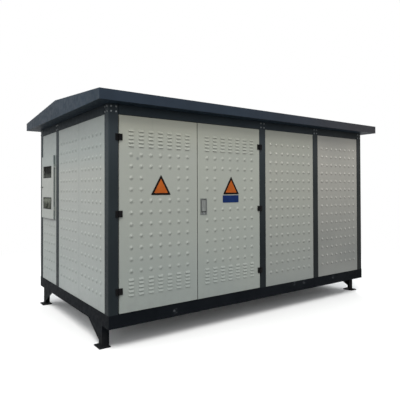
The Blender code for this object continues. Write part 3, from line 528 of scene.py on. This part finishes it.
RIM = plate_paint("dark_rim_enamel", (10, 6, 5), (18, 11, 9))
BLUE = plate_paint("blue_plate_enamel", (22, 44, 92), (17, 37, 82))

NODE_PAINTS = (
    (("base_channel", "cross_member", "leg_"), BASE),
    (("mid_post_front",), FRAME_MIDDLE),
    (("corner_post", "mid_post"), FRAME),
    (("top_beam_left",), BEAM_END),
    (("top_beam",), BEAM),
    (("roof_shell",), ROOF),
    (("ceiling_panel",), SOFFIT),
    (("wall_panel_meter", "meter_box", "meter_door"), PANEL_METER),
    (("wall_panel_left",), PANEL_END),
    (("door_leaf_right",), PANEL_LEAF),
    (("wall_panel_front_2",), PANEL_MIDDLE),
    (("wall_panel_front_3",), PANEL_WARM),
    (("wall_panel", "door_leaf"), PANEL),
    (("hinge_",), HINGE),
    (("handle_pan",), HANDLE_PAN),
    (("handle_", "meter_knob"), HANDLE),
    (("floor_plate",), FLOOR_STEEL),
    (("meter_window_upper",), GLASS_UPPER),
    (("meter_window_lower",), GLASS_LOWER),
)


def paint_of(name):
    """The paint of a CAD node, from the first line whose prefix fits."""
    return next(material for prefixes, material in NODE_PAINTS if name.startswith(prefixes))


def paint_nodes():
    for name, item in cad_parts.items():
        item.data.materials.clear()
        item.data.materials.append(paint_of(name))


def new_piece(name, data, material, body):
    """Turn a bmesh into a shown piece that moves with a body."""
    bmesh.ops.recalc_face_normals(data, faces=data.faces)
    mesh = bpy.data.meshes.new(name)
    data.to_mesh(mesh)
    data.free()
    mesh.materials.append(material)
    item = bpy.data.objects.new(name, mesh)
    bpy.context.scene.collection.objects.link(item)
    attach(item, body)
    return item


def smooth(item, angle=40):
    """Shade a piece smooth, except over edges sharper than an angle."""
    item.data.shade_smooth()
    item.data.set_sharp_from_angle(angle=math.radians(angle))


def place_on(side, along, out, height):
    """Matrix that puts local X along a wall, local -Y out of it, and Z up."""
    turn = Matrix.Rotation(math.radians(SIDES[side]), 4, "Z")
    return turn @ Matrix.Translation((along, -out, height))


def wall_frame(node, side):
    """A node as its wall sees it: its span along the wall, how far out its face lies, and its heights."""
    low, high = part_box(node)
    back = Matrix.Rotation(-math.radians(SIDES[side]), 4, "Z")
    ends = [back @ low, back @ high]
    spans = [sorted((ends[0][i], ends[1][i])) for i in range(3)]
    return spans[0], -spans[1][0], spans[2]


def rectangle(left, right, foot, head, growth=0.0):
    """Corners of a rectangle, grown on all sides."""
    left, right, foot, head = left - growth, right + growth, foot - growth, head + growth
    return [(left, foot), (right, foot), (right, head), (left, head)]


def rounded_polygon(corners, radius, steps=6):
    """A polygon with its corners replaced by arcs."""
    points = []
    count = len(corners)
    for index, corner in enumerate(corners):
        corner = Vector(corner)
        before = (Vector(corners[index - 1]) - corner).normalized()
        after = (Vector(corners[(index + 1) % count]) - corner).normalized()
        half = before.angle(after) / 2
        centre = corner + (before + after).normalized() * radius / math.sin(half)
        start = corner + before * radius / math.tan(half) - centre
        end = corner + after * radius / math.tan(half) - centre
        sweep = start.angle_signed(end)
        for step in range(steps + 1):
            turned = Matrix.Rotation(-sweep * step / steps, 2) @ start
            points.append(tuple(centre + turned))
    return points


def new_ring(data, place, outline, out):
    """Vertices of an outline in local XZ, a distance out along local -Y."""
    return [data.verts.new(place @ Vector((x, -out, z))) for x, z in outline]


def circle(radius, sides, first=0.0):
    """Outline of a circle; first is the share of a side that its first point is turned by."""
    angles = [2 * math.pi * (number + first) / sides for number in range(sides)]
    return [(radius * math.cos(angle), radius * math.sin(angle)) for angle in angles]


def join_rings(data, inner, outer):
    """Faces between two rings with as many vertices."""
    count = len(inner)
    for number in range(count):
        after = (number + 1) % count
        data.faces.new((inner[number], inner[after], outer[after], outer[number]))


def put_stack(data, rings):
    """A closed solid through rings, with a flat face at each end."""
    for inner, outer in zip(rings, rings[1:]):
        join_rings(data, inner, outer)
    data.faces.new(rings[0])
    data.faces.new(rings[-1])


def put_dome(data, place, radius, rise, sink=DIMPLE_SINK, sides=DIMPLE_SIDES):
    """A pressed round bump: a cosine dome that meets the sheet level, closed behind it."""
    top = data.verts.new(place @ Vector((0, -rise, 0)))
    levels = [(step / DIMPLE_RINGS, 0.0) for step in range(1, DIMPLE_RINGS + 1)] + [(1.0, sink)]
    rings = []
    for share, below in levels:
        out = rise * math.cos(share * math.pi / 2) ** 2 - below
        rings.append(new_ring(data, place, circle(radius * share, sides), out))
    for number in range(sides):
        data.faces.new((top, rings[0][number], rings[0][(number + 1) % sides]))
    for inner, outer in zip(rings, rings[1:]):
        join_rings(data, inner, outer)
    data.faces.new(rings[-1])


def put_disc(data, place, radius, near, far, sides, edge):
    """A round or many-sided plug along local -Y, from near to far out, with a chamfered rim."""
    put_stack(data, [new_ring(data, place, circle(reach, sides, 0.5), out) for reach, out in (
        (radius, near), (radius, far - edge), (radius - edge, far))])


def put_prism(data, place, outline, near, far, edge=0.0):
    """An outline in local XZ, raised along local -Y, with a chamfer round its front."""
    middle = Vector((sum(x for x, _ in outline), sum(z for _, z in outline))) / len(outline)
    rings = []
    for out, inset in ((near, 0.0), (far - edge, 0.0), (far, edge)):
        aways = [Vector(point) - middle for point in outline]
        shrunk = [middle + away * (1 - inset / away.length) for away in aways]
        rings.append(new_ring(data, place, shrunk, out))
    put_stack(data, rings)


def put_frame(data, place, outer, inner, near, far):
    """A flat rim between two outlines with as many points, raised along local -Y."""
    rings = [new_ring(data, place, outline, out) for outline, out in (
        (outer, near), (outer, far), (inner, far), (inner, near))]
    for first, second in zip(rings, rings[1:] + rings[:1]):
        join_rings(data, first, second)


def columns(middle, count, pitch):
    return [middle + (number - (count - 1) / 2) * pitch for number in range(count)]


def dimple_field(node, side, face, places, size, body):
    """One joined piece with all the dimples of a sheet, given as places along it and heights."""
    data = bmesh.new()
    for along, height in places:
        put_dome(data, place_on(side, along, face, height), *size)
    item = new_piece(f"dimples_{node}", data, paint_of(node), body)
    smooth(item, DIMPLE_CREASE)


def dimple_walls():
    """Dimples of the fixed sheets, on all four sides."""
    sheets = (
        ("wall_panel_front_2", "front", 8, PANEL_PITCH, 0),
        ("wall_panel_front_3", "front", 8, PANEL_PITCH, 0),
        ("wall_panel_left_far", "left", 6, END_PITCH, 0),
        ("wall_panel_left_near", "left", 6, END_PITCH, 0),
        ("wall_panel_meter_bay", "left", 5, END_PITCH, METER_FIRST_ROW),
        ("wall_panel_right_1", "right", 12, END_PITCH, 0),
        ("wall_panel_right_2", "right", 5, END_PITCH, 0),
        ("wall_panel_back_1", "back", 8, PANEL_PITCH, 0),
        ("wall_panel_back_2", "back", 8, PANEL_PITCH, 0),
        ("wall_panel_back_3", "back", 16, DOOR_PITCH, 0),
    )
    for node, side, count, pitch, first in sheets:
        along, face, _ = wall_frame(node, side)
        places = columns(sum(along) / 2, count, pitch)
        grid = [(x, WALL_TOP_ROW - row * WALL_ROW_PITCH) for x in places for row in range(first, WALL_ROWS)]
        size = END_DIMPLE if side in ("left", "right") else WALL_DIMPLE
        dimple_field(node, side, face, grid, size, "housing")


def dimple_doors():
    """Dimples of the leaves, but for those that the plates and the handle leave out."""
    for node, body, bare in (("door_leaf_left", "door_left", LEFT_BARE),
                             ("door_leaf_right", "door_right", RIGHT_BARE)):
        low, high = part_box(node)
        places = columns((low.x + high.x) / 2, DOOR_COLUMNS, DOOR_PITCH)
        grid = [(x, DOOR_TOP_ROW - row * DOOR_ROW_PITCH) for column, x in enumerate(places)
                for row in DOOR_ROWS if (row, column) not in bare]
        dimple_field(node, "front", HALF_DEPTH, grid, DOOR_DIMPLE, body)


def put_bolt(data, place, turn):
    """A washer, a hexagon head turned about its axis, and the bolt's round end."""
    put_disc(data, place, WASHER_RADIUS, -BURIED, WASHER_HEIGHT, WASHER_SIDES, WASHER_CHAMFER)
    place = place @ Matrix.Rotation(turn, 4, "Y")
    head = WASHER_HEIGHT + BOLT_HEIGHT
    put_disc(data, place, BOLT_RADIUS, WASHER_HEIGHT - BOLT_SEAT, head, BOLT_SIDES, BOLT_CHAMFER)
    put_disc(data, place, BOLT_END_RADIUS, WASHER_HEIGHT, head + BOLT_END_HEIGHT, BOLT_END_SIDES, BOLT_CHAMFER)


def bolt_groups():
    """Four bolts on the beam over each post, on every side."""
    data = bmesh.new()
    for side in SIDES:
        half, out = (HALF_LENGTH, HALF_DEPTH) if side in ("front", "back") else (HALF_DEPTH, HALF_LENGTH)
        posts = [CORNER_POST_MIDDLE - half, half - CORNER_POST_MIDDLE]
        posts += [sum(wall_frame(name, side)[0]) / 2 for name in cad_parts
                  if name.startswith(f"mid_post_{side}")]
        for post in posts:
            for along in (-BOLT_SPREAD_ALONG, BOLT_SPREAD_ALONG):
                for up in (-BOLT_SPREAD_UP, BOLT_SPREAD_UP):
                    turn = sum(rate * step for rate, step in zip(BOLT_TURN, (post, along, up)))
                    put_bolt(data, place_on(side, post + along, out, BEAM_MIDDLE + up), turn)
    new_piece("beam_bolts", data, ZINC, "housing")


def hinge_screws():
    """Two socket screws on each half of each block hinge."""
    groups = {}
    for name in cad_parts:
        if name.startswith("hinge_"):
            low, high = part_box(name)
            fixed = name.endswith("fixed")
            body = "housing" if fixed else "door_left" if "left" in name else "door_right"
            outer_is_low = fixed == ("left" in name)
            along = low.x + SCREW_INSET if outer_is_low else high.x - SCREW_INSET
            groups.setdefault(body, []).append((along, (low.z + high.z) / 2))
    for body, places in groups.items():
        data = bmesh.new()
        for along, middle in places:
            for step in (-SCREW_SPREAD, SCREW_SPREAD):
                place = place_on("front", along, HALF_DEPTH + HINGE_PLATE, middle + step)
                put_disc(data, place, SCREW_RADIUS, -BURIED, SCREW_HEIGHT, SCREW_SIDES, SCREW_CHAMFER)
        new_piece(f"hinge_screws_{body}", data, HINGE, body)


def triangle_plates():
    """Plain triangular plates with a dark rim, without a sign."""
    for name, body, left, right, foot, apex in TRIANGLES:
        half, height = (right - left) / 2, apex - foot
        slope = math.hypot(half, height)
        side_inset = RIM_WIDTH * (slope + half) / height
        outline = [(-half, 0), (half, 0), (0, height)]
        inner = [(-half + side_inset, RIM_WIDTH), (half - side_inset, RIM_WIDTH),
                 (0, height - RIM_WIDTH * slope / half)]
        inner = rounded_polygon(inner, PLATE_CORNER)
        place = place_on("front", (left + right) / 2 - HALF_LENGTH, HALF_DEPTH, foot)
        data = bmesh.new()
        put_prism(data, place, inner, -BURIED, PLATE_HEIGHT)
        new_piece(f"plate_face_{name}", data, ORANGE, body)
        data = bmesh.new()
        put_frame(data, place, rounded_polygon(outline, RIM_CORNER), inner, -BURIED, RIM_HEIGHT)
        new_piece(f"plate_rim_{name}", data, RIM, body)


def blue_plate():
    """Plain dark blue plate below the right triangle, without words."""
    left, right, foot, head = BLUE_PLATE
    corners = rectangle(left - HALF_LENGTH, right - HALF_LENGTH, foot, head)
    data = bmesh.new()
    put_prism(data, place_on("front", 0, HALF_DEPTH, 0), rounded_polygon(corners, PLATE_CORNER),
              -BURIED, PLATE_HEIGHT, PLATE_CHAMFER)
    new_piece("plate_blue", data, BLUE, "door_right")


def handle_details():
    """Lock cylinder and rivets on the handle's pan, and black pieces as painted shade in its keyway and in the
    slot below the lever.
    """
    low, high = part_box("handle_pan")
    middle, face = (low.x + high.x) / 2, -low.y
    lock = place_on("front", middle, face, low.z + LOCK_PLACE)
    data = bmesh.new()
    put_disc(data, lock, LOCK_RADIUS, -BURIED, LOCK_HEIGHT, LOCK_SIDES, LOCK_CHAMFER)
    put_disc(data, lock, BARREL_RADIUS, LOCK_HEIGHT - BURIED, BARREL_HEIGHT, BARREL_SIDES, BARREL_CHAMFER)
    inset_x, inset_z = RIVET_INSET
    for x in (low.x + inset_x, high.x - inset_x):
        for z in (low.z + inset_z, high.z - inset_z):
            put_dome(data, place_on("front", x, face, z), *RIVET, BURIED, RIVET_SIDES)
    item = new_piece("handle_lock_and_rivets", data, ZINC, "door_right")
    smooth(item)
    # black pieces: painted shade in the slot below the lever and in the keyway
    data = bmesh.new()
    recess = place_on("front", middle, face, low.z + RECESS_FOOT)
    put_prism(data, recess, rectangle(*HANDLE_SLOT), *HANDLE_SLOT_DEPTHS)
    put_prism(data, lock, rectangle(*KEYWAY), BARREL_HEIGHT - BURIED, BARREL_HEIGHT + KEYWAY_HEIGHT)
    new_piece("handle_slot_and_keyway", data, RIM, "door_right")


def window_gaskets():
    """Black rubber round the two panes of the metering door."""
    low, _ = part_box("meter_door")
    place = place_on("left", 0, -low.x, 0)
    data = bmesh.new()
    for name in ("meter_window_lower", "meter_window_upper"):
        along, _, heights = wall_frame(name, "left")
        outer, inner = (rounded_polygon(rectangle(*along, *heights, growth - GASKET_LAP), GASKET_CORNER)
                        for growth in GASKET_GROWTH)
        put_frame(data, place, outer, inner, *GASKET_DEPTHS)
    item = new_piece("meter_window_gaskets", data, RUBBER, "meter_cabinet_door")
    smooth(item)


def meter_door_seal():
    """Dark trim round the back of the metering door's edge, which darkens the edge's faces."""
    along, face, heights = wall_frame("meter_door", "left")
    outer, inner = (rectangle(along[0], along[0] + METER_DOOR_WIDTH, *heights, growth)
                    for growth in SEAL_GROWTH)
    data = bmesh.new()
    put_frame(data, place_on("left", 0, face, 0), outer, inner, -METER_DOOR_DEPTH, -SEAL_FRONT)
    new_piece("meter_door_seal", data, TRIM, "meter_cabinet_door")


def door_edge_seal():
    """Black rubber on the meeting edge of the right leaf, which darkens the gap between the leaves."""
    low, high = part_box("door_leaf_right")
    corners = rectangle(low.x - EDGE_SEAL_OUT, low.x + EDGE_SEAL_IN,
                        low.z + EDGE_SEAL_SHORT, high.z - EDGE_SEAL_SHORT)
    data = bmesh.new()
    put_prism(data, place_on("front", 0, HALF_DEPTH, 0), corners, *EDGE_SEAL_DEPTHS)
    new_piece("door_edge_seal", data, RUBBER, "door_right")


def joint_band(middle, half, heights):
    """Corners of an upright band over a sheet joint."""
    return rectangle(middle - half, middle + half, heights[0] + JOINT_SHORT, heights[1] - JOINT_SHORT)


def end_joint():
    """Dark sealant in the upright joint between the two sheets of the left end."""
    near, face, heights = wall_frame("wall_panel_left_near", "left")
    far, _, _ = wall_frame("wall_panel_left_far", "left")
    data = bmesh.new()
    put_prism(data, place_on("left", 0, face, 0), joint_band((near[0] + far[1]) / 2, SEALANT_HALF, heights),
              *SEALANT_DEPTHS)
    new_piece("end_joint_sealant", data, TRIM, "housing")


def sheet_seams():
    """Flat cover strips over the sheet joints of the wide bays that can't be seen in the photo."""
    data = bmesh.new()
    for node, side in (("wall_panel_right_1", "right"), ("wall_panel_back_3", "back")):
        along, face, heights = wall_frame(node, side)
        put_prism(data, place_on(side, sum(along) / 2, face, 0), joint_band(0, STRIP_HALF, heights),
                  -BURIED, STRIP_HEIGHT, STRIP_CHAMFER)
    new_piece("sheet_cover_strips", data, PANEL, "housing")


def seen_rays(tree):
    """1 for camera, glossy and transmission rays, which see the white background."""
    rays = tree.nodes.new("ShaderNodeLightPath")
    factor = rays.outputs["Is Camera Ray"]
    for name in ("Is Transmission Ray", "Is Glossy Ray"):
        either = tree.nodes.new("ShaderNodeMath")
        either.operation = "MAXIMUM"
        tree.links.new(factor, either.inputs[0])
        tree.links.new(rays.outputs[name], either.inputs[1])
        factor = either.outputs[0]
    return factor


def blend_shaders(tree, factor, first, second, output):
    """Show a mix of two shaders at an output node."""
    blend = tree.nodes.new("ShaderNodeMixShader")
    for socket, value in zip(blend.inputs, (factor, first.outputs[0], second.outputs[0])):
        tree.links.new(value, socket)
    tree.links.new(blend.outputs[0], output.inputs["Surface"])


def floor_material():
    """Pale floor that turns to plain white away from the object; rays that light the object see grey ground."""
    paint = Paint("pale_floor")
    tree, shader = paint.tree, paint.shader
    shader.inputs["Roughness"].default_value = 0.9
    shader.inputs["Specular IOR Level"].default_value = 0.1
    seen = seen_rays(tree)
    paint.feed(shader.inputs["Base Color"], paint.mix(seen, linear(*GROUND_LIT), linear(*GROUND_SEEN)))
    white = tree.nodes.new("ShaderNodeEmission")
    fade = paint.spread(paint.distance((0, 0, 0)), *FLOOR_FADE)
    blend_shaders(tree, paint.both(fade, seen), shader, white, tree.nodes["Material Output"])
    return paint.material


def make_floor():
    reach = FLOOR_REACH
    mesh = bpy.data.meshes.new("floor")
    mesh.from_pydata([(-reach, -reach, 0), (reach, -reach, 0), (reach, reach, 0), (-reach, reach, 0)],
                     [], [(0, 1, 2, 3)])
    mesh.materials.append(floor_material())
    floor = bpy.data.objects.new("floor", mesh)
    floor.location.z = -FLOOR_DROP
    bpy.context.scene.collection.objects.link(floor)


def make_world():
    """Overcast sky, brighter low down and to the left, and white where the camera looks at it."""
    world = bpy.data.worlds.new("overcast")
    bpy.context.scene.world = world
    world.use_nodes = True
    tree = world.node_tree
    tree.nodes.clear()
    place = tree.nodes.new("ShaderNodeTexCoord")
    split = tree.nodes.new("ShaderNodeSeparateXYZ")
    tree.links.new(place.outputs["Generated"], split.inputs[0])
    rise = tree.nodes.new("ShaderNodeMapRange")
    for name, level in zip(("From Min", "From Max", "To Min", "To Max"),
                           (0.0, 1.0, SKY_LEVEL, SKY_LEVEL + SKY_OVERHEAD)):
        rise.inputs[name].default_value = level
    tree.links.new(split.outputs["Z"], rise.inputs["Value"])
    left = tree.nodes.new("ShaderNodeMath")
    left.operation = "MULTIPLY_ADD"
    tree.links.new(split.outputs["X"], left.inputs[0])
    left.inputs[1].default_value = -SKY_LEFT
    tree.links.new(rise.outputs["Result"], left.inputs[2])
    sky = tree.nodes.new("ShaderNodeBackground")
    sky.inputs["Color"].default_value = SKY_COLOUR
    tree.links.new(left.outputs[0], sky.inputs["Strength"])
    white = tree.nodes.new("ShaderNodeBackground")
    white.inputs["Color"].default_value = (1.0, 1.0, 1.0, 1.0)
    blend_shaders(tree, seen_rays(tree), sky, white, tree.nodes.new("ShaderNodeOutputWorld"))


def make_lamps():
    """Large round lamps, aimed at the middle of the housing."""
    for name, place, size, power, colour in LAMPS:
        lamp = bpy.data.lights.new(name, "AREA")
        lamp.shape = "DISK"
        lamp.size = size
        lamp.energy = power
        lamp.color = colour
        item = bpy.data.objects.new(name, lamp)
        item.location = place
        item.rotation_euler = (Vector(LAMP_AIM) - Vector(place)).to_track_quat("-Z", "Y").to_euler()
        bpy.context.scene.collection.objects.link(item)


def make_camera():
    camera = bpy.data.cameras.new("photo_camera")
    camera.sensor_width = CAMERA_SENSOR
    camera.lens = CAMERA_LENS
    camera.shift_y = CAMERA_SHIFT_Y
    item = bpy.data.objects.new("photo_camera", camera)
    bpy.context.scene.collection.objects.link(item)
    level = Matrix.Rotation(CAMERA_HEADING - math.pi / 2, 4, "Z") @ Matrix.Rotation(math.pi / 2, 4, "X")
    tilt = Matrix.Rotation(CAMERA_PITCH, 4, "X") @ Matrix.Rotation(CAMERA_ROLL, 4, "Z")
    item.matrix_world = Matrix.Translation(CAMERA_PLACE) @ level @ tilt
    bpy.context.scene.camera = item


paint_nodes()
dimple_walls()
dimple_doors()
bolt_groups()
hinge_screws()
triangle_plates()
blue_plate()
handle_details()
window_gaskets()
meter_door_seal()
door_edge_seal()
end_joint()
sheet_seams()
make_floor()
make_world()
make_lamps()
make_camera()
bpy.context.scene.view_settings.view_transform = "Standard"
